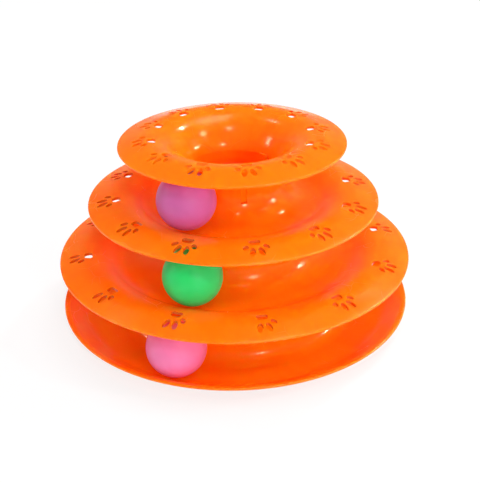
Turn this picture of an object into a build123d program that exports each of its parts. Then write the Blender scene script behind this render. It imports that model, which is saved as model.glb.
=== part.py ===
from build123d import *
import os
from math import cos, radians, tan

# Cat ball track toy: a tower of four stacked orange mouldings with a ball in each of its three tracks.
# All sizes are in millimetres. The tower's axis is Z, and z = 0 is the surface that it stands on.

# Orange mouldings: the wall and the radii of the brims
wall = 2.0
top_brim_radius = 79.0
tier_step = 23.25
base_lip_setback = 0.5

# Track: the balls and the way they run
ball_diameter = 40.0
ball_rest_gap = 0.3
ball_side_gap = 0.5
ball_roof_gap = 1.5
headroom = 1.5

# Brim: a shallow cone outside the crest and a slope down to the track inside it
brim_width = 25.0
crest_rise = 9.5
edge_rise = 0.8
track_margin = 7.0
crest_round = 30.0
slope_round = 16.0
cove_relief = 2.0
edge_round = 0.9

# Base tray: a dish with a low flared lip
lip_rise = 10.0
lip_flare_width = 3.5
lip_flare_rise = 1.0
lip_round = 4.0
base_cove_round = 10.0

# Top ring: a rolled funnel that curves down past the highest ball into the hollow of the tower
funnel_slope = 60.0
funnel_round = 25.0
ring_seat_rise = 4.0
clip_root = 1.0

# Paw prints: five openings each, cut straight down through the brim
paws_per_brim = 12
paw_turn = 9.0
top_paw_inset = 19.0
upper_paw_inset = 15.5
lower_paw_inset = 16.0
pad_heel_width = 9.0
pad_front_width = 6.0
pad_depth = 5.6
pad_offset = 4.6
pad_round = 1.8
side_toe_length = 5.0
side_toe_width = 3.5
side_toe_reach = 6.6
side_toe_offset = 0.8
side_toe_tilt = 38.0
front_toe_length = 7.6
front_toe_width = 3.9
front_toe_reach = 2.9
front_toe_offset = 5.2
front_toe_tilt = 12.0

# Clips: tongues under each upper moulding, with a key that runs in a notch of the column below
clip_count = 3
clip_turn = 42.0
clip_length = 12.0
clip_width = 7.0
clip_thickness = 1.7
key_width = 3.6
fit_gap = 0.3
seat_gap = 0.3

# Hollow balls, each welded from two half shells with a stepped seam
ball_wall = 1.6
seam_lip_height = 2.0
seam_gap = 0.05
seam_tilt = 62.0
ball_places = {"pink": -113.0, "green": -111.0, "purple": -125.0}

# Non-slip pads under the base
pad_count = 4
pad_turn = 45.0
foot_radius = 5.0
foot_thickness = 1.6
foot_round = 0.5

# Room that a cutting shape stands clear of what it cuts
overrun = 5.0

# Sizes that follow from the ones above
ball_radius = ball_diameter / 2
cove_round = ball_radius - cove_relief
tier_pitch = ball_diameter + headroom
upper_brim_radius = top_brim_radius + tier_step
lower_brim_radius = upper_brim_radius + tier_step
base_lip_radius = lower_brim_radius - base_lip_setback

base_floor = foot_thickness + wall
lower_floor = base_floor + tier_pitch
upper_floor = lower_floor + tier_pitch
top_level = upper_floor + tier_pitch

# A ball runs under the crest of the brim above it, and beside the column of its own tier
base_ball_circle = lower_brim_radius - brim_width
lower_ball_circle = upper_brim_radius - brim_width
upper_ball_circle = top_brim_radius - brim_width


def column_radius(ball_circle):
    """Outer radius of the column that stands inside a ball's circle."""
    return ball_circle - ball_radius - ball_side_gap


def bore_radius(ball_circle):
    """Inner radius of the hollow column."""
    return column_radius(ball_circle) - wall


def moulded_shell(points, radii):
    """Wall of constant thickness under a rounded line of (radius, height), turned about the axis."""
    face_line = FilletPolyline(*points, radius=radii)
    section = make_face(offset(face_line, wall, side=Side.RIGHT))
    rim_corners = section.vertices().sort_by(Axis.X)[-2:]
    section = fillet(rim_corners, edge_round)
    return revolve(Plane.XZ * section, Axis.Z)


def upright_ring(inner, outer, low, high):
    """Ring between two radii and two heights."""
    height = high - low
    body = Cylinder(outer, height) - Cylinder(inner, height)
    return Pos(Z=(low + high) / 2) * body


def around(shape, count, turn):
    """Copies of a shape, evenly spaced about the axis."""
    return [Rot(Z=turn + 360 * copy / count) * shape for copy in range(count)]


def clips(bore, seat, root):
    """Tongues that hang from a root past a seat into the bore below, each with a key on its outer face."""
    foot = seat - clip_length
    outer = bore - fit_gap
    reach = bore + wall
    height = root - foot
    middle = (root + foot) / 2
    tongue = upright_ring(outer - clip_thickness, outer, foot, root)
    tongue &= Pos(reach / 2, 0, middle) * Box(reach, clip_width, height)
    key = upright_ring(outer - clip_thickness / 2, reach - fit_gap, foot, root)
    key &= Pos(reach / 2, 0, middle) * Box(reach, key_width, height)
    return around(tongue + key, clip_count, clip_turn)


def notches(bore, rim):
    """Open slots in the top of a column, where the keys of the moulding above run."""
    depth = clip_length + fit_gap
    width = key_width + 2 * fit_gap
    slot = Pos(bore + wall / 2, 0, rim - depth / 2 + overrun / 2) * Box(2 * wall, width, depth + overrun)
    return around(slot, clip_count, clip_turn)


def toe(length, width, reach, forward, tilt):
    """Oval opening of one toe, at its reach to the side and forward of the paw's middle."""
    return Pos(forward, reach) * Rot(Z=tilt) * Ellipse(length / 2, width / 2)


def paw_outline():
    """Paw print with its toes towards +X: a rounded pad, two side toes and two front toes."""
    heel = -pad_offset - pad_depth / 2
    front = -pad_offset + pad_depth / 2
    corners = [
        (heel, -pad_heel_width / 2),
        (front, -pad_front_width / 2),
        (front, pad_front_width / 2),
        (heel, pad_heel_width / 2),
    ]
    pad = make_face(Polyline(*corners, close=True))
    outline = fillet(pad.vertices(), pad_round)
    for side in (-1, 1):
        outline += toe(side_toe_length, side_toe_width, side * side_toe_reach,
                       side_toe_offset, side * side_toe_tilt)
        outline += toe(front_toe_length, front_toe_width, side * front_toe_reach,
                       front_toe_offset, side * front_toe_tilt)
    return outline


def paw_cutters(brim_radius, inset, level):
    """Paw prints all round a brim, as straight cutters."""
    cutter = extrude(paw_outline(), crest_rise + wall + overrun)
    cutter = Pos(brim_radius - inset, 0, level - wall) * cutter
    return around(cutter, paws_per_brim, paw_turn)


def base_tray():
    """Lowest moulding: floor, flared lip and hollow column."""
    column = column_radius(base_ball_circle)
    top = lower_floor - wall - seat_gap
    points = [
        (column, top),
        (column, base_floor),
        (base_ball_circle + track_margin, base_floor),
        (base_lip_radius - lip_flare_width, base_floor + lip_rise - lip_flare_rise),
        (base_lip_radius, base_floor + lip_rise),
    ]
    shell = moulded_shell(points, [base_cove_round, slope_round, lip_round])
    return shell.cut(*notches(bore_radius(base_ball_circle), top))


def track_tier(brim_radius, floor, ball_circle, bore_below, column_top, paw_inset):
    """Middle moulding: brim with paw prints, track, hollow column and clips for the column below."""
    column = column_radius(ball_circle)
    crest = brim_radius - brim_width
    points = [
        (column, column_top),
        (column, floor),
        (ball_circle + track_margin, floor),
        (crest, floor + crest_rise),
        (brim_radius, floor + edge_rise + wall),
    ]
    shell = moulded_shell(points, [cove_round, slope_round, crest_round])
    shell = shell.cut(*notches(bore_radius(ball_circle), column_top))
    shell = shell.cut(*paw_cutters(brim_radius, paw_inset, floor))
    seat = floor - wall
    return shell.fuse(*clips(bore_below, seat, seat + wall / 2))


# The funnel's upper face curves round the highest ball and goes on as a cone
ball_centre_height = upper_floor + ball_rest_gap + ball_radius
roof_radius = ball_radius + ball_roof_gap + wall
funnel_lift = roof_radius / cos(radians(funnel_slope))
ring_seat = ball_centre_height + ring_seat_rise


def funnel_height(radius):
    """Height of the funnel's cone at a radius."""
    return ball_centre_height + (radius - upper_ball_circle) * tan(radians(funnel_slope)) + funnel_lift


def top_ring():
    """Highest moulding: brim with paw prints and a funnel that stands on the upper column, with clips into it."""
    edge_height = top_level + edge_rise + wall
    brim_slope = (crest_rise - edge_rise - wall) / brim_width
    funnel_pitch = tan(radians(funnel_slope))
    brim_at_axis = edge_height + brim_slope * top_brim_radius
    crest = (brim_at_axis - funnel_height(0)) / (funnel_pitch + brim_slope)
    throat = upper_ball_circle - roof_radius
    points = [
        (throat, ball_centre_height - overrun),
        (throat, funnel_height(throat)),
        (crest, funnel_height(crest)),
        (top_brim_radius, edge_height),
    ]
    shell = moulded_shell(points, [roof_radius, funnel_round])
    shell -= Pos(Z=ring_seat - tier_pitch / 2) * Cylinder(upper_ball_circle, tier_pitch)
    shell = shell.cut(*paw_cutters(top_brim_radius, top_paw_inset, top_level))
    return shell.fuse(*clips(bore_radius(upper_ball_circle), ring_seat, ring_seat + clip_root))


def ball_halves(circle, floor, turn):
    """Two half shells of a hollow ball that lies in its track, with a stepped seam between them."""
    inner = ball_radius - ball_wall
    seam_radius = ball_radius - ball_wall / 2
    shell = Sphere(ball_radius) - Sphere(inner)
    lower_space = Pos(Z=-ball_radius) * Box(2 * ball_diameter, 2 * ball_diameter, ball_diameter)
    lip_space = Pos(Z=seam_lip_height / 2) * Cylinder(seam_radius - seam_gap, seam_lip_height)
    recess_height = seam_lip_height + seam_gap
    recess = Pos(Z=recess_height / 2) * Cylinder(seam_radius, recess_height)
    lower = (shell & lower_space) + (shell & lip_space)
    upper = shell - lower_space - recess
    place = Rot(Z=turn) * Pos(circle, 0, floor + ball_rest_gap + ball_radius) * Rot(Y=seam_tilt)
    return place * upper, place * lower


def foot_pads():
    """Non-slip pads under the flat floor of the base tray, between the column's cove and the ball's circle."""
    circle = (column_radius(base_ball_circle) + base_cove_round + base_ball_circle) / 2
    pad = Cylinder(foot_radius, foot_thickness)
    pad = fillet(pad.edges().group_by(Axis.Z)[0], foot_round)
    return around(Pos(circle, 0, foot_thickness / 2) * pad, pad_count, pad_turn)


pieces = {
    "base_tray": base_tray(),
    "lower_tier": track_tier(lower_brim_radius, lower_floor, lower_ball_circle,
                             bore_radius(base_ball_circle), upper_floor - wall - seat_gap, lower_paw_inset),
    "upper_tier": track_tier(upper_brim_radius, upper_floor, upper_ball_circle,
                             bore_radius(lower_ball_circle), ring_seat - seat_gap, upper_paw_inset),
    "top_ring": top_ring(),
}
tracks = {
    "pink": (base_ball_circle, base_floor),
    "green": (lower_ball_circle, lower_floor),
    "purple": (upper_ball_circle, upper_floor),
}
for colour, (circle, floor) in tracks.items():
    upper_half, lower_half = ball_halves(circle, floor, ball_places[colour])
    pieces[colour + "_ball_outer_half"] = upper_half
    pieces[colour + "_ball_inner_half"] = lower_half
for number, pad in enumerate(foot_pads(), start=1):
    pieces[f"foot_pad_{number}"] = pad

os.makedirs("parts", exist_ok=True)
for name, piece in pieces.items():
    export_step(piece, f"parts/{name}.step")
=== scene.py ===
# %% [markdown]
# # A ball tower for cats, in glossy orange plastic
# The toy is four round mouldings that stack into a tower, with a loose ball in each of its three tracks.
# Its shape could be modelled here, but it was settled as solids that also carry its joints. So Blender's
# share is the finish of each surface, the marks of use, the light and the camera. The solids come in as a
# frame that stays put.

# %% The frame
import math

import bpy
from mathutils import Matrix, Vector


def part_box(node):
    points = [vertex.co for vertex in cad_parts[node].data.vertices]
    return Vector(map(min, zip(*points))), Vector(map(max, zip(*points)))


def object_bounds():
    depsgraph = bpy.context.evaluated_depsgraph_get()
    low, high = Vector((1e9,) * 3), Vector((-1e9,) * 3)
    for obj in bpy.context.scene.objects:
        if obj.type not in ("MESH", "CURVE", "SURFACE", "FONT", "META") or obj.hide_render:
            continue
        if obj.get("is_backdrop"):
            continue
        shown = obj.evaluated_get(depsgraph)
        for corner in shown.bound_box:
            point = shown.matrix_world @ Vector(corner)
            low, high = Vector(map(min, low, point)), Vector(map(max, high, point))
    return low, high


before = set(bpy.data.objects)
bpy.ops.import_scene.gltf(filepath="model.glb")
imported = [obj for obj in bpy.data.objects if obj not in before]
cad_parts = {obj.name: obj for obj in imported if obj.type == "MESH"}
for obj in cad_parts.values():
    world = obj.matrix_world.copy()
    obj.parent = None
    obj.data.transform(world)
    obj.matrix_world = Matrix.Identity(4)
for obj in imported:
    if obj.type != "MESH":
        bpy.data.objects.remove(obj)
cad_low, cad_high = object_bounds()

scene = bpy.context.scene
scene.view_settings.view_transform = "Standard"
print("nodes:", sorted(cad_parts))
print("box of the solids:", [round(value, 4) for value in (*cad_low, *cad_high)])

# %% [markdown]
# ## Camera
# The photograph looks down on the tower from in front. That view could be matched by eye, but four round
# rims say more: a camera fitted to their outlines gives its distance, its height and its lens. Those few
# numbers place it here, turned down, a little to the side and a little about its own line of sight.

# %% Camera
CAMERA_DISTANCE = 0.6168
CAMERA_HEIGHT = 0.3736
TILT_DOWN = 27.51
TURN_RIGHT = 0.39
ROLL = -1.07
FOCAL_LENGTH = 71.44

bpy.ops.object.select_all(action="DESELECT")
bpy.ops.object.camera_add()
camera = bpy.context.object
camera.name = "photo_camera"
camera.data.lens = FOCAL_LENGTH
turn = Matrix.Rotation(math.radians(-TURN_RIGHT), 4, "Z")
tilt = Matrix.Rotation(math.radians(90 - TILT_DOWN), 4, "X")
roll = Matrix.Rotation(math.radians(ROLL), 4, "Z")
camera.matrix_world = Matrix.Translation((0, -CAMERA_DISTANCE, CAMERA_HEIGHT)) @ turn @ tilt @ roll
scene.camera = camera
print("camera at", tuple(round(value, 3) for value in camera.location), "lens", FOCAL_LENGTH, "mm")

# %% [markdown]
# ## Node helpers
# Every finish below is a small tree of shader nodes. Such trees can be wired with the mouse in the Shader
# Editor. In code, four helpers keep them short: one adds a node and fills in its inputs, one draws a
# wire, one does a sum and one stretches a value from one range to another.

# %% Node helpers
def add_node(tree, kind, inputs=None, **settings):
    """A new shader node with its settings and its unlinked inputs filled in."""
    node = tree.nodes.new(kind)
    for setting, value in settings.items():
        setattr(node, setting, value)
    for name, value in (inputs or {}).items():
        node.inputs[name].default_value = value
    return node


def link(tree, output, socket):
    """A wire from an output to an input."""
    tree.links.new(output, socket)


def calculate(tree, operation, first, second=0.0):
    """A Math node on two sockets or plain numbers, and its result."""
    node = add_node(tree, "ShaderNodeMath", operation=operation)
    for place, value in enumerate((first, second)):
        if isinstance(value, (int, float)):
            node.inputs[place].default_value = value
        else:
            link(tree, value, node.inputs[place])
    return node.outputs[0]


def map_range(tree, value, low, high, new_low, new_high):
    """A value stretched from one range to another and held inside it."""
    node = add_node(tree, "ShaderNodeMapRange", {
        "From Min": low, "From Max": high, "To Min": new_low, "To Max": new_high})
    link(tree, value, node.inputs["Value"])
    return node.outputs["Result"]


print("node helpers ready")

# %% [markdown]
# ## Floor
# The toy stands on plain white ground. A curved backdrop would do too, but a wide flat disc looks the
# same from every side. It lies a hair below the foot pads, so that the two faces never flicker through
# each other.

# %% Floor
FLOOR_RADIUS = 6.0
FLOOR_SIDES = 96
FLOOR_DROP = 0.0003

bpy.ops.object.select_all(action="DESELECT")
bpy.ops.mesh.primitive_circle_add(vertices=FLOOR_SIDES, radius=FLOOR_RADIUS, fill_type="NGON",
                                  location=(0, 0, -FLOOR_DROP))
floor = bpy.context.object
floor.name = "floor"
print("floor", FLOOR_RADIUS, "m in radius")

# %% [markdown]
# ## White paper
# White ground could come from very strong light, but that would bleach the toy. Light Path does it
# without: it tells rays that the camera or a reflection sends out from rays that only carry light. The
# first kind see a steady white, with a share of lit paint that keeps the tower's shadow and fades out away
# from it. The other kind meet pale paint.

# %% White paper
FLOOR_PAINT = (0.9, 0.9, 0.9, 1)
WHITE = (1, 1, 1, 1)
SHADOW_SHARE = 0.2
SHADOW_NEAR = 0.3
SHADOW_FAR = 1.2


def seen_directly(tree):
    """1 for rays from the camera, a reflection or a clear surface, and 0 for rays that carry light."""
    path = add_node(tree, "ShaderNodeLightPath")
    seen = calculate(tree, "MAXIMUM", path.outputs["Is Camera Ray"], path.outputs["Is Glossy Ray"])
    return calculate(tree, "MAXIMUM", seen, path.outputs["Is Transmission Ray"])


paper = bpy.data.materials.new("white_paper")
paper.use_nodes = True
tree = paper.node_tree
tree.nodes.clear()
surface = add_node(tree, "ShaderNodeOutputMaterial")
paint = add_node(tree, "ShaderNodeBsdfDiffuse", {"Color": FLOOR_PAINT})
white = add_node(tree, "ShaderNodeEmission", {"Color": WHITE, "Strength": 1.0})
place = add_node(tree, "ShaderNodeTexCoord").outputs["Object"]
reach = add_node(tree, "ShaderNodeVectorMath", operation="LENGTH")
link(tree, place, reach.inputs[0])
share = map_range(tree, reach.outputs["Value"], SHADOW_NEAR, SHADOW_FAR, SHADOW_SHARE, 0)
ground = add_node(tree, "ShaderNodeMixShader")
link(tree, share, ground.inputs["Fac"])
link(tree, white.outputs[0], ground.inputs[1])
link(tree, paint.outputs[0], ground.inputs[2])
either = add_node(tree, "ShaderNodeMixShader")
link(tree, seen_directly(tree), either.inputs["Fac"])
link(tree, paint.outputs[0], either.inputs[1])
link(tree, ground.outputs[0], either.inputs[2])
link(tree, either.outputs[0], surface.inputs["Surface"])
floor.data.materials.append(paper)
floor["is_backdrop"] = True
print("paper shows the tower's shadow up to", SHADOW_FAR, "m away")

# %% [markdown]
# ## Sky
# One grey sky for every ray would be simplest. But glossy plastic mirrors the sky, and in the photograph
# it mirrors a pale horizon and little above it. Nothing here is metal or glass, which would have to mirror
# the white background too, so reflections get a sky of their own that falls off upwards. The camera sees
# plain white, also through anything clear, and all other rays get an even and modest light, so that the
# lamps model the form.

# %% Sky
SKY_LIGHT = 0.36
SKY_LOW = 0.26
SKY_TOP = 0.08
LOW_HEIGHT = 0.15
TOP_HEIGHT = 0.5

world = bpy.data.worlds.new("studio")
scene.world = world
world.use_nodes = True
tree = world.node_tree
tree.nodes.clear()
surface = add_node(tree, "ShaderNodeOutputWorld")
direction = add_node(tree, "ShaderNodeTexCoord").outputs["Generated"]
parts = add_node(tree, "ShaderNodeSeparateXYZ")
link(tree, direction, parts.inputs[0])
light = add_node(tree, "ShaderNodeBackground", {"Color": WHITE, "Strength": SKY_LIGHT})
dome = add_node(tree, "ShaderNodeBackground", {"Color": WHITE})
fall_off = map_range(tree, parts.outputs["Z"], LOW_HEIGHT, TOP_HEIGHT, SKY_LOW, SKY_TOP)
link(tree, fall_off, dome.inputs["Strength"])
white = add_node(tree, "ShaderNodeBackground", {"Color": WHITE, "Strength": 1.0})
path = add_node(tree, "ShaderNodeLightPath")
mirrored = add_node(tree, "ShaderNodeMixShader")
link(tree, path.outputs["Is Glossy Ray"], mirrored.inputs["Fac"])
link(tree, light.outputs[0], mirrored.inputs[1])
link(tree, dome.outputs[0], mirrored.inputs[2])
seen = calculate(tree, "MAXIMUM", path.outputs["Is Camera Ray"], path.outputs["Is Transmission Ray"])
either = add_node(tree, "ShaderNodeMixShader")
link(tree, seen, either.inputs["Fac"])
link(tree, mirrored.outputs[0], either.inputs[1])
link(tree, white.outputs[0], either.inputs[2])
link(tree, either.outputs[0], surface.inputs["Surface"])
print("sky light", SKY_LIGHT, "and in reflections", SKY_LOW, "to", SKY_TOP)

# %% [markdown]
# ## Lamps
# Lamps could be moved about until the picture looks right, but gloss tells where they stand: a highlight
# lies where the wall's normal halves the angle between the eye and a lamp. The bright spots in the
# photograph's funnel and tracks were traced back that way, which gave the small lamps, by azimuth,
# elevation and level. Three large soft panels fill in the rest. The two in front and behind are kept out
# of the reflections, where they would veil the brims with white. The levels make the right of each brim
# lighter than its left, as it is in the photograph.

# %% Lamps
TARGET = Vector((0, 0, cad_high.z / 2))
LAMP_DISTANCE = 3.5
LAMP_SIZE = 0.25
SMALL_LAMPS = {
    "key_lamp": (-66, 21, 0.20),
    "right_lamp": (6, 16, 0.24),
    "ceiling_front": (-83, 54, 0.14),
    "ceiling_right": (45, 43, 0.27),
    "ceiling_side": (-17, 39, 0.19),
    "ceiling_left": (135, 54, 0.06),
    "left_lamp": (175, 22, 0.10),
}


def studio_lamp(name, azimuth, elevation, size, level):
    """Square lamp aimed at the tower. Its level is how bright it alone makes a white sheet facing it."""
    turn = math.radians(azimuth)
    rise = math.radians(elevation)
    away = Vector((math.cos(turn) * math.cos(rise), math.sin(turn) * math.cos(rise), math.sin(rise)))
    bpy.ops.object.select_all(action="DESELECT")
    bpy.ops.object.light_add(type="AREA", location=TARGET + away * LAMP_DISTANCE)
    lamp = bpy.context.object
    lamp.name = name
    lamp.rotation_euler = away.to_track_quat("Z", "Y").to_euler()
    lamp.data.size = size
    lamp.data.energy = level * (math.pi * LAMP_DISTANCE) ** 2
    return lamp


for name, (azimuth, elevation, level) in SMALL_LAMPS.items():
    studio_lamp(name, azimuth, elevation, LAMP_SIZE, level)
studio_lamp("soft_top", azimuth=20, elevation=74, size=1.6, level=0.36)
front_fill = studio_lamp("front_fill", azimuth=-70, elevation=12, size=1.2, level=0.20)
back_fill = studio_lamp("back_fill", azimuth=112, elevation=22, size=1.5, level=0.14)
for panel in (front_fill, back_fill):
    panel.visible_glossy = False

# %% [markdown]
# ## Groups of nodes
# Two effects, the flow of the plastic and the marks of handling, are used by more than one material. They
# could be copied into each, but a node group is built once and placed where it is needed. The first helper
# makes an empty group with named sockets. The others place a noise and measure from the tower's axis.

# %% Group helpers
def new_group(name, inputs, outputs):
    """An empty shader node group with named sockets, and its two end nodes."""
    tree = bpy.data.node_groups.new(name, "ShaderNodeTree")
    for socket, (kind, value) in inputs.items():
        made = tree.interface.new_socket(socket, in_out="INPUT", socket_type=kind)
        made.default_value = value
    for socket, kind in outputs.items():
        tree.interface.new_socket(socket, in_out="OUTPUT", socket_type=kind)
    start = add_node(tree, "NodeGroupInput")
    end = add_node(tree, "NodeGroupOutput")
    return tree, start, end


def noise(tree, vector, settings):
    """A noise texture at a place."""
    node = add_node(tree, "ShaderNodeTexNoise", settings)
    link(tree, vector, node.inputs["Vector"])
    return node


def flattened(tree, vector):
    """A place moved straight down to the ground, which leaves its direction and distance from the axis."""
    parts = add_node(tree, "ShaderNodeSeparateXYZ")
    link(tree, vector, parts.inputs[0])
    flat = add_node(tree, "ShaderNodeCombineXYZ")
    link(tree, parts.outputs["X"], flat.inputs["X"])
    link(tree, parts.outputs["Y"], flat.inputs["Y"])
    return flat.outputs[0]


def axis_distance(tree, vector):
    """How far a place lies from the tower's axis."""
    length = add_node(tree, "ShaderNodeVectorMath", operation="LENGTH")
    link(tree, flattened(tree, vector), length.inputs[0])
    return length.outputs["Value"]


print("group helpers ready")

# %% [markdown]
# ## Shared effect: flow in the plastic
# Hot plastic is pushed in at the middle of such a round moulding and runs outwards, so its colour varies
# a little in soft rays about the axis. A painted map could show that, but a noise has no seams and no
# pixels. The group turns a place into its direction about the axis and its distance from it, so that the
# noise is stretched along the rays.

# %% Flow group
RAY_STRETCH = 12.0
RAY_NOISE = {"Scale": 1.0, "Detail": 3.0, "Roughness": 0.55}
CLOUD_NOISE = {"Scale": 22.0, "Detail": 2.0, "Roughness": 0.5}
FLOW_LOW = 0.35
FLOW_HIGH = 0.65

flow, start, end = new_group(
    "plastic_flow",
    {"Vector": ("NodeSocketVector", (0, 0, 0)), "Rays": ("NodeSocketFloat", 9.0)},
    {"Rays": "NodeSocketFloat", "Clouds": "NodeSocketFloat"},
)
place = start.outputs["Vector"]
heading = add_node(flow, "ShaderNodeVectorMath", operation="NORMALIZE")
link(flow, flattened(flow, place), heading.inputs[0])
along = add_node(flow, "ShaderNodeCombineXYZ")
link(flow, calculate(flow, "MULTIPLY", axis_distance(flow, place), RAY_STRETCH), along.inputs["Z"])
stretched = add_node(flow, "ShaderNodeVectorMath", operation="MULTIPLY_ADD")
link(flow, heading.outputs[0], stretched.inputs[0])
link(flow, start.outputs["Rays"], stretched.inputs[1])
link(flow, along.outputs[0], stretched.inputs[2])
rays = noise(flow, stretched.outputs[0], RAY_NOISE)
clouds = noise(flow, place, CLOUD_NOISE)
link(flow, map_range(flow, rays.outputs["Fac"], FLOW_LOW, FLOW_HIGH, 0, 1), end.inputs["Rays"])
link(flow, map_range(flow, clouds.outputs["Fac"], FLOW_LOW, FLOW_HIGH, 0, 1), end.inputs["Clouds"])
print("group", flow.name, "with", len(flow.nodes), "nodes")

# %% [markdown]
# ## Shared effect: handling
# A toy that is handled and played with is never evenly glossy. Faint smudges change its gloss in patches,
# and the skin of the plastic ripples very slightly. A photographed map of smudges would have to be
# unwrapped onto every piece. Both marks are soft and have no direction, so plain noise gives them: one
# mask for the smudges and one height for the ripple.

# %% Handling group: smudges and ripple
SMUDGE_NOISE = {"Scale": 38.0, "Detail": 4.0, "Distortion": 0.6}
SMUDGE_LOW = 0.42
SMUDGE_HIGH = 0.72
RIPPLE_NOISE = {"Scale": 120.0, "Detail": 1.0}

handling, start, end = new_group(
    "handling",
    {"Vector": ("NodeSocketVector", (0, 0, 0)), "Scratch Scale": ("NodeSocketFloat", 60.0)},
    {"Smudge": "NodeSocketFloat", "Scratch": "NodeSocketFloat", "Ripple": "NodeSocketFloat"},
)
place = start.outputs["Vector"]
smudge = noise(handling, place, SMUDGE_NOISE)
smudged = map_range(handling, smudge.outputs["Fac"], SMUDGE_LOW, SMUDGE_HIGH, 0, 1)
link(handling, smudged, end.inputs["Smudge"])
ripple = noise(handling, place, RIPPLE_NOISE)
link(handling, ripple.outputs["Fac"], end.inputs["Ripple"])
print("group", handling.name, "has smudges and ripple")

# %% [markdown]
# ## Shared effect: scratches
# Claws leave hairlines that cross in all directions. Long thin meshes would be far too heavy, so the
# lines are the borders between the cells of a Voronoi texture. The place is warped first, so that they
# bend, and a second noise lets them show only here and there.

# %% Handling group: scratches
WARP_NOISE = {"Scale": 30.0, "Detail": 1.0}
WARP_REACH = (0.02, 0.02, 0.02)
HAIRLINE = 0.012
PATCH_NOISE = {"Scale": 45.0, "Detail": 2.0}
PATCH_LOW = 0.52
PATCH_HIGH = 0.62

warp = noise(handling, place, WARP_NOISE)
bent = add_node(handling, "ShaderNodeVectorMath", operation="MULTIPLY_ADD")
link(handling, warp.outputs["Color"], bent.inputs[0])
bent.inputs[1].default_value = WARP_REACH
link(handling, place, bent.inputs[2])
cells = add_node(handling, "ShaderNodeTexVoronoi", feature="DISTANCE_TO_EDGE")
link(handling, bent.outputs[0], cells.inputs["Vector"])
link(handling, start.outputs["Scratch Scale"], cells.inputs["Scale"])
hairlines = map_range(handling, cells.outputs["Distance"], 0, HAIRLINE, 1, 0)
patches = noise(handling, place, PATCH_NOISE)
here_and_there = map_range(handling, patches.outputs["Fac"], PATCH_LOW, PATCH_HIGH, 0, 1)
link(handling, calculate(handling, "MULTIPLY", hairlines, here_and_there), end.inputs["Scratch"])
print("group", handling.name, "with", len(handling.nodes), "nodes")

# %% [markdown]
# ## Material helpers
# Every material starts in the same way: it is emptied, gets a Principled shader and takes in the groups.
# Starting from Blender's default nodes would work too, but then each tree would hold nodes that it
# doesn't use.

# %% Material helpers
FIRST_COLOUR = 6
SECOND_COLOUR = 7
MIXED_COLOUR = 2


def new_material(name):
    """An empty node material."""
    material = bpy.data.materials.new(name)
    material.use_nodes = True
    material.node_tree.nodes.clear()
    return material


def surface_shader(tree, inputs):
    """The Principled shader wired to the material's surface."""
    shader = add_node(tree, "ShaderNodeBsdfPrincipled", inputs)
    surface = add_node(tree, "ShaderNodeOutputMaterial")
    link(tree, shader.outputs[0], surface.inputs["Surface"])
    return shader


def use_group(tree, group, vector, inputs):
    """A node group placed in a material, fed with a place on the surface."""
    node = add_node(tree, "ShaderNodeGroup", node_tree=group)
    for name, value in inputs.items():
        node.inputs[name].default_value = value
    link(tree, vector, node.inputs["Vector"])
    return node


def mix_colours(tree, mask, first, second):
    """First colour where the mask is 0 and second where it is 1, by a Mix node's numbered sockets."""
    node = add_node(tree, "ShaderNodeMix", data_type="RGBA")
    link(tree, mask, node.inputs["Factor"])
    for number, colour in ((FIRST_COLOUR, first), (SECOND_COLOUR, second)):
        if isinstance(colour, bpy.types.NodeSocket):
            link(tree, colour, node.inputs[number])
        else:
            node.inputs[number].default_value = (*colour, 1)
    return node.outputs[MIXED_COLOUR]


def dress(node, material):
    """The material on a node of the frame, in place of what it came with."""
    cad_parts[node].data.materials.clear()
    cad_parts[node].data.materials.append(material)


print("material helpers ready")

# %% [markdown]
# ## Walls of the paw prints
# The cut walls of the paw prints are painted darker than the brim: painted shade for the shadow that falls
# inside the holes. Their faces could be picked out one by one and given a second material. A mask is
# simpler and lives in the same material: the walls are where the surface stands upright and lies in the
# ring of the brim that holds the prints.

# %% Walls of the paw prints
UPRIGHT = 0.3
PAWS_FROM_RIM = 0.024
PAWS_TO_RIM = 0.003


def paw_walls(tree, normal, radius, rim_radius):
    """1 on upright walls inside a brim that ends at a radius, and 0 elsewhere."""
    facing = add_node(tree, "ShaderNodeSeparateXYZ")
    link(tree, normal, facing.inputs[0])
    upright = calculate(tree, "LESS_THAN", calculate(tree, "ABSOLUTE", facing.outputs["Z"]), UPRIGHT)
    outside = calculate(tree, "GREATER_THAN", radius, rim_radius - PAWS_FROM_RIM)
    inside = calculate(tree, "LESS_THAN", radius, rim_radius - PAWS_TO_RIM)
    return calculate(tree, "MULTIPLY", upright, calculate(tree, "MULTIPLY", outside, inside))


print("paw prints lie", PAWS_TO_RIM, "to", PAWS_FROM_RIM, "m inside a rim")

# %% [markdown]
# ## Orange plastic: colour
# The mouldings take their orange from the flow group, which mixes it with a slightly deeper one. The rim
# of each brim, where hands and claws touch it, is rubbed paler, which a mask finds by the distance from
# the axis. A weak red emission is painted light: it keeps the shaded tracks red as if lit, though the
# plastic is no lamp. The paw walls get none of it and a darker colour, which is painted shade. Stronger
# light could make the shaded tracks as red, but it would bleach the brims.

# %% Orange plastic: colour
ORANGE = (0.95, 0.205, 0.003)
ORANGE_DEEP = (0.94, 0.188, 0.002)
ORANGE_RUBBED = (0.93, 0.25, 0.02)
RUB_WIDTH = 0.004
RUB_SHARE = 0.35
# painted light: a red glow that lifts the shaded tracks, though no lamp is in the plastic
PAINTED_RED_GLOW = (1.0, 0.03, 0.0)
NO_GLOW = (0, 0, 0)


def rubbed_rim(tree, radius, rim_radius, clouds):
    """Cloudy mask that rises to 1 at the rim of a brim."""
    rim = map_range(tree, radius, rim_radius - RUB_WIDTH, rim_radius, 0, 1)
    return calculate(tree, "MULTIPLY", rim, clouds)


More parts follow.
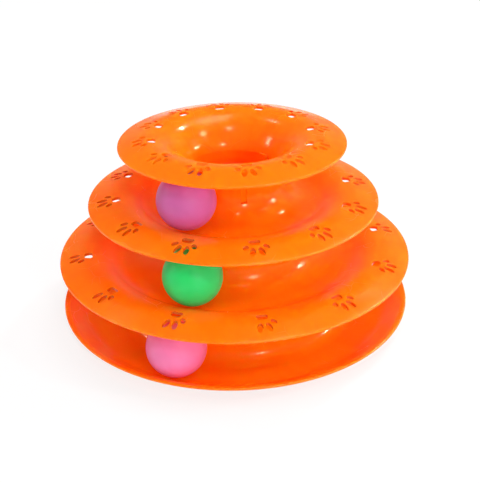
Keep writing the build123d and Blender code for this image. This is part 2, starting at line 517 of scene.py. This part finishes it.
def orange_colour(tree, rays, rubbed, walls, painted_wall_shade):
    """Orange with its rays, its rubbed rim and its paw walls darkened by painted shade."""
    colour = mix_colours(tree, rays, ORANGE, ORANGE_DEEP)
    colour = mix_colours(tree, calculate(tree, "MULTIPLY", rubbed, RUB_SHARE), colour, ORANGE_RUBBED)
    return mix_colours(tree, walls, colour, painted_wall_shade)


print("orange", ORANGE, "deepening to", ORANGE_DEEP)

# %% [markdown]
# ## Orange plastic: gloss
# Smudges, scratches and the rubbed rim dull the gloss. One even roughness would look too perfect for a
# toy in use. The ripple and the scratches also go into a Bump node, and a Bevel node below it rounds the
# sharp edges of the paw prints where the light catches them.

# %% Orange plastic: gloss
GLOSS = 0.15
SMUDGE_DULLS = 0.09
SCRATCH_DULLS = 0.2
RUBBING_DULLS = 0.12
SCRATCH_DEPTH = 0.3
EDGE_ROUND = 0.0006
EDGE_SAMPLES = 4
SKIN_BUMP = {"Strength": 0.25, "Distance": 0.0004}


def orange_gloss(tree, marks, rubbed):
    """Roughness of the orange plastic."""
    gloss = map_range(tree, marks.outputs["Smudge"], 0, 1, GLOSS, GLOSS + SMUDGE_DULLS)
    scratched = calculate(tree, "MULTIPLY", marks.outputs["Scratch"], SCRATCH_DULLS)
    worn = calculate(tree, "MULTIPLY", rubbed, RUBBING_DULLS)
    return calculate(tree, "ADD", calculate(tree, "ADD", gloss, scratched), worn)


def orange_skin(tree, marks):
    """Normal of the rippled and scratched skin, over rounded edges."""
    scratched = calculate(tree, "MULTIPLY", marks.outputs["Scratch"], SCRATCH_DEPTH)
    rounded = add_node(tree, "ShaderNodeBevel", {"Radius": EDGE_ROUND}, samples=EDGE_SAMPLES)
    bump = add_node(tree, "ShaderNodeBump", SKIN_BUMP)
    link(tree, calculate(tree, "SUBTRACT", marks.outputs["Ripple"], scratched), bump.inputs["Height"])
    link(tree, rounded.outputs[0], bump.inputs["Normal"])
    return bump.outputs[0]


print("gloss", GLOSS, "to", round(GLOSS + SMUDGE_DULLS + SCRATCH_DULLS + RUBBING_DULLS, 2))

# %% [markdown]
# ## Orange plastic on the mouldings
# The walls are thin, glossy and slightly see-through: light enters, turns redder on its way and comes out
# again, so the shaded tracks stay a bright red orange, helped by the painted red glow. Real glass-like
# transmission would show what lies behind. The Principled shader's subsurface scattering only spreads the
# light, with red travelling furthest, which is what this cloudy plastic does. Reflections get a warm tint,
# because pale ones look pink on orange. Each moulding gets its own material, since its rim and its rays
# are its own.

# %% Orange mouldings
ORANGE_SHADER = {
    "Subsurface Weight": 1.0,
    "Subsurface Radius": (1.0, 0.12, 0.02),
    "Subsurface Scale": 0.012,
    "Specular IOR Level": 0.4,
    "Specular Tint": (1.0, 0.86, 0.5, 1),
    "IOR": 1.49,
    # strength of the painted red glow
    "Emission Strength": 0.13,
}
ORANGE_SCRATCHES = 55.0
RAYS_ROUND = {"base_tray": 9.0, "lower_tier": 8.0, "upper_tier": 7.0, "top_ring": 6.0}
# painted shade: the paw walls are darkened for the shadow inside the holes
TIER_PAW_WALL_SHADE = (0.5, 0.095, 0.001)
RING_PAW_WALL_SHADE = (0.92, 0.19, 0.002)


def orange_plastic(name, rim_radius, rays_round, painted_wall_shade):
    """Glossy translucent orange for a moulding whose brim ends at a radius."""
    material = new_material(name)
    tree = material.node_tree
    coordinates = add_node(tree, "ShaderNodeTexCoord")
    place = coordinates.outputs["Object"]
    streaks = use_group(tree, flow, place, {"Rays": rays_round})
    marks = use_group(tree, handling, place, {"Scratch Scale": ORANGE_SCRATCHES})
    radius = axis_distance(tree, place)
    rubbed = rubbed_rim(tree, radius, rim_radius, streaks.outputs["Clouds"])
    walls = paw_walls(tree, coordinates.outputs["Normal"], radius, rim_radius)
    shader = surface_shader(tree, ORANGE_SHADER)
    colour = orange_colour(tree, streaks.outputs["Rays"], rubbed, walls, painted_wall_shade)
    link(tree, colour, shader.inputs["Base Color"])
    # painted red glow everywhere except on the paw walls, which carry painted shade
    link(tree, mix_colours(tree, walls, PAINTED_RED_GLOW, NO_GLOW), shader.inputs["Emission Color"])
    link(tree, orange_gloss(tree, marks, rubbed), shader.inputs["Roughness"])
    link(tree, orange_skin(tree, marks), shader.inputs["Normal"])
    return material


for node, rays_round in RAYS_ROUND.items():
    rim_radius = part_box(node)[1].x
    painted_wall_shade = RING_PAW_WALL_SHADE if node == "top_ring" else TIER_PAW_WALL_SHADE
    dress(node, orange_plastic(node + "_orange", rim_radius, rays_round, painted_wall_shade))
    print(node, "orange, rim at", round(rim_radius, 4), "m")

# %% [markdown]
# ## Balls
# Each ball is light and hollow, welded from two halves, with a satin skin. Its plastic is pale and
# cloudy, so a little light spreads inside the wall. A material for each half would show a break at the
# weld. Instead both halves share one, and a Mapping node puts the origin of its clouds and scuffs at the
# middle of the ball.

# %% Ball plastic
BALL_SHADER = {
    "Subsurface Weight": 0.5,
    "Subsurface Radius": (1.0, 0.8, 0.8),
    "Subsurface Scale": 0.006,
    "Specular IOR Level": 0.3,
}
BALL_CLOUDS = {"Scale": 60.0, "Detail": 3.0}
BALL_CLOUD_LOW = 0.35
BALL_CLOUD_HIGH = 0.7
BALL_SCRATCHES = 90.0
SATIN = 0.38
SATIN_SMUDGED = 0.5
SCUFF_DULLS = 0.15
BALL_BUMP = {"Strength": 0.2, "Distance": 0.0003}


def ball_plastic(name, centre, base, pale):
    """Satin plastic with faint clouds and scuffs, for a ball about a centre."""
    material = new_material(name)
    tree = material.node_tree
    place = add_node(tree, "ShaderNodeTexCoord").outputs["Object"]
    centred = add_node(tree, "ShaderNodeMapping", {"Location": -centre})
    link(tree, place, centred.inputs["Vector"])
    marks = use_group(tree, handling, centred.outputs[0], {"Scratch Scale": BALL_SCRATCHES})
    clouds = noise(tree, centred.outputs[0], BALL_CLOUDS)
    cloudy = map_range(tree, clouds.outputs["Fac"], BALL_CLOUD_LOW, BALL_CLOUD_HIGH, 0, 1)
    shader = surface_shader(tree, BALL_SHADER)
    link(tree, mix_colours(tree, cloudy, base, pale), shader.inputs["Base Color"])
    satin = map_range(tree, marks.outputs["Smudge"], 0, 1, SATIN, SATIN_SMUDGED)
    scuffed = calculate(tree, "MULTIPLY", marks.outputs["Scratch"], SCUFF_DULLS)
    link(tree, calculate(tree, "ADD", satin, scuffed), shader.inputs["Roughness"])
    bump = add_node(tree, "ShaderNodeBump", BALL_BUMP)
    link(tree, marks.outputs["Ripple"], bump.inputs["Height"])
    link(tree, bump.outputs[0], shader.inputs["Normal"])
    return material


print("satin", SATIN, "to", round(SATIN_SMUDGED + SCUFF_DULLS, 2))

# %% [markdown]
# ## A colour for each ball
# Each ball has a base colour and a slightly paler one for its clouds. They could be picked from the
# photograph, but those pixels hold its light as well, so they were set until the balls came out alike under
# the lamps here. The middle of a ball is worked out from the boxes of its halves, not typed in.

# %% Balls
BALL_COLOURS = {
    "pink": ((0.94, 0.19, 0.40), (0.96, 0.205, 0.42)),
    "green": ((0.02, 0.70, 0.15), (0.03, 0.73, 0.17)),
    "purple": ((0.57, 0.125, 0.37), (0.61, 0.14, 0.40)),
}

for colour_name, (base, pale) in BALL_COLOURS.items():
    halves = [f"{colour_name}_ball_outer_half", f"{colour_name}_ball_inner_half"]
    low = Vector(min(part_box(half)[0][axis] for half in halves) for axis in range(3))
    high = Vector(max(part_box(half)[1][axis] for half in halves) for axis in range(3))
    centre = (low + high) / 2
    skin = ball_plastic(colour_name + "_satin", centre, base, pale)
    for half in halves:
        dress(half, skin)
    print(colour_name, "ball about", tuple(round(value, 4) for value in centre))

# %% [markdown]
# ## Foot pads
# The pads under the base are discs of pale foam rubber. Modelled pores would be too many and too small to
# see, so the fine cells of a Voronoi texture give its grain as a bump, and a noise greys it with the
# floor's dust.

# %% Foot pads
FOAM = (0.62, 0.62, 0.60)
FOAM_DUSTY = (0.40, 0.39, 0.37)
FOAM_CELLS = {"Scale": 1400.0}
FOAM_DUST = {"Scale": 160.0, "Detail": 5.0}
FOAM_SHADER = {"Roughness": 0.85, "Specular IOR Level": 0.2}
FOAM_BUMP = {"Strength": 0.6, "Distance": 0.0003}

foam = new_material("foam_rubber")
tree = foam.node_tree
place = add_node(tree, "ShaderNodeTexCoord").outputs["Object"]
cells = add_node(tree, "ShaderNodeTexVoronoi", FOAM_CELLS)
link(tree, place, cells.inputs["Vector"])
dust = noise(tree, place, FOAM_DUST)
shader = surface_shader(tree, FOAM_SHADER)
link(tree, mix_colours(tree, dust.outputs["Fac"], FOAM, FOAM_DUSTY), shader.inputs["Base Color"])
bump = add_node(tree, "ShaderNodeBump", FOAM_BUMP)
link(tree, cells.outputs["Distance"], bump.inputs["Height"])
link(tree, bump.outputs[0], shader.inputs["Normal"])
pads = [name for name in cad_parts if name.startswith("foot_pad")]
for pad in pads:
    dress(pad, foam)
print(len(pads), "foot pads in foam rubber")

# %% [markdown]
# ## Size
# The finish should leave the size of the part as it was. Comparing by eye would miss a millimetre, so the
# box of the finished model is measured in the same way as the box of the solids.

# %% Size and finish
low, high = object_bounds()
